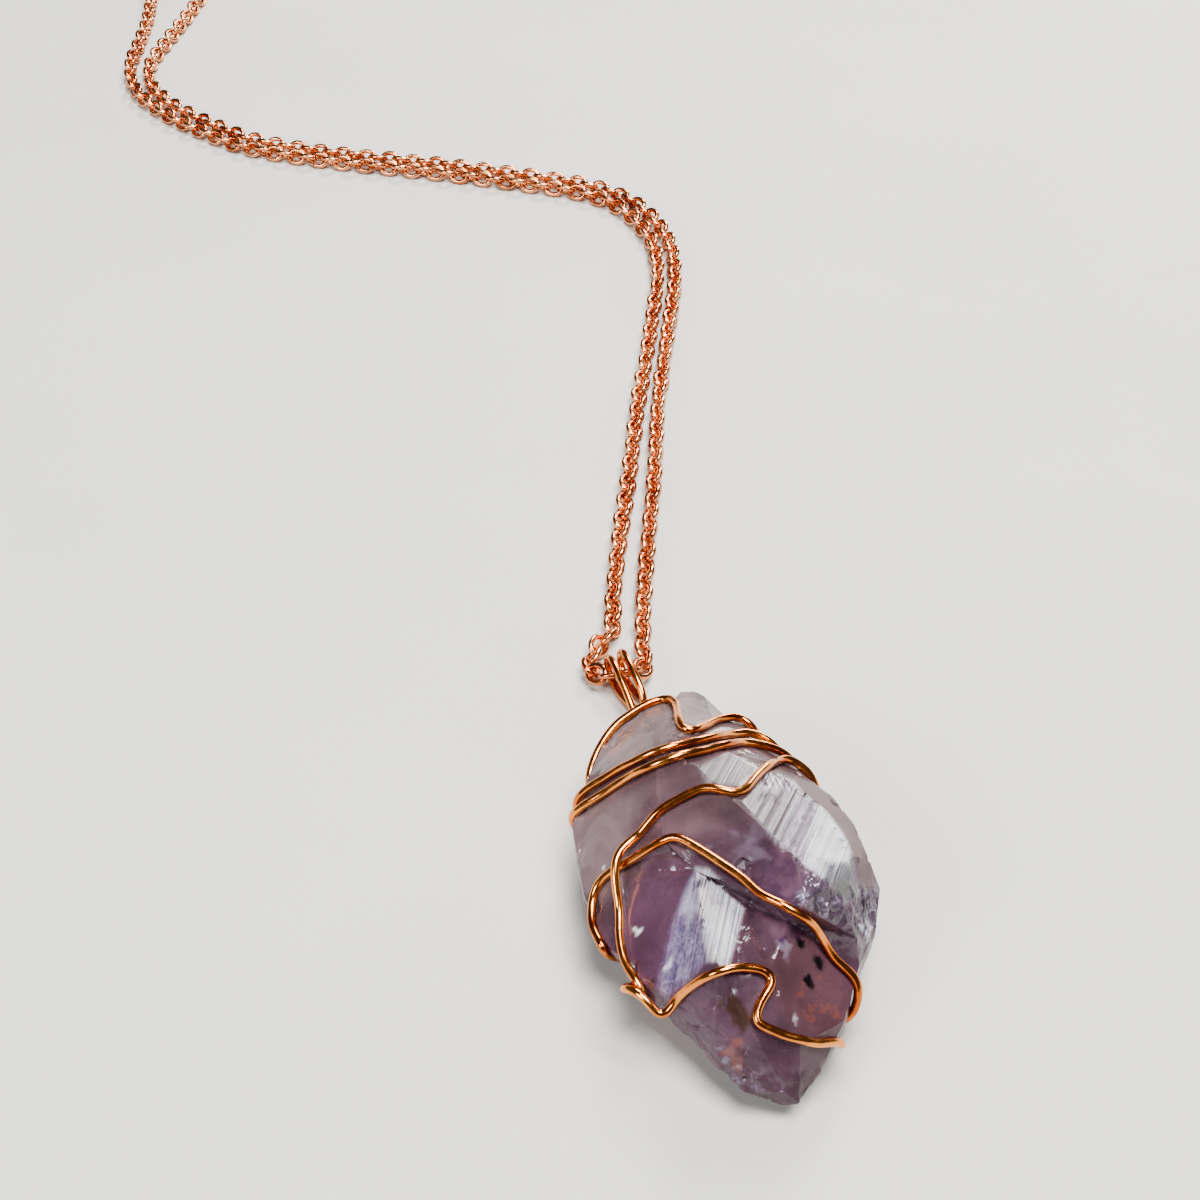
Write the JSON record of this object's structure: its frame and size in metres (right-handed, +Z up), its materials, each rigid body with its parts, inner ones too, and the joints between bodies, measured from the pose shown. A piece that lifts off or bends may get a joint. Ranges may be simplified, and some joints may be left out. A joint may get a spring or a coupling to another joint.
{
  "type": "wire-wrapped amethyst pendant",
  "caption": "Rough amethyst crystal held in a wrap of round copper wire, with a wire bail on a fine copper cable chain.",
  "frame": {"origin": "centre of the underside of the box round the stone and its wire, on the surface that the pendant lies on", "axes": "+Y along the stone towards the bail and the chain, +Z up out of the stone's front, +X to the right of the front"},
  "size_m": [0.0763, 0.2778, 0.017],
  "materials": {
    "amethyst": "rough natural crystal, glossy faces, cloudy inside",
    "copper_wire": "polished copper with tool marks",
    "rose_copper": "polished rose copper links"
  },
  "bodies": {
    "root": {"amethyst": "amethyst", "copper_wire": "copper_wire", "chain_bail": "rose_copper", "chain_left": "rose_copper", "chain_right": "rose_copper", "clasp": "rose_copper", "end_ring": "rose_copper"}
  },
  "joints": []
}
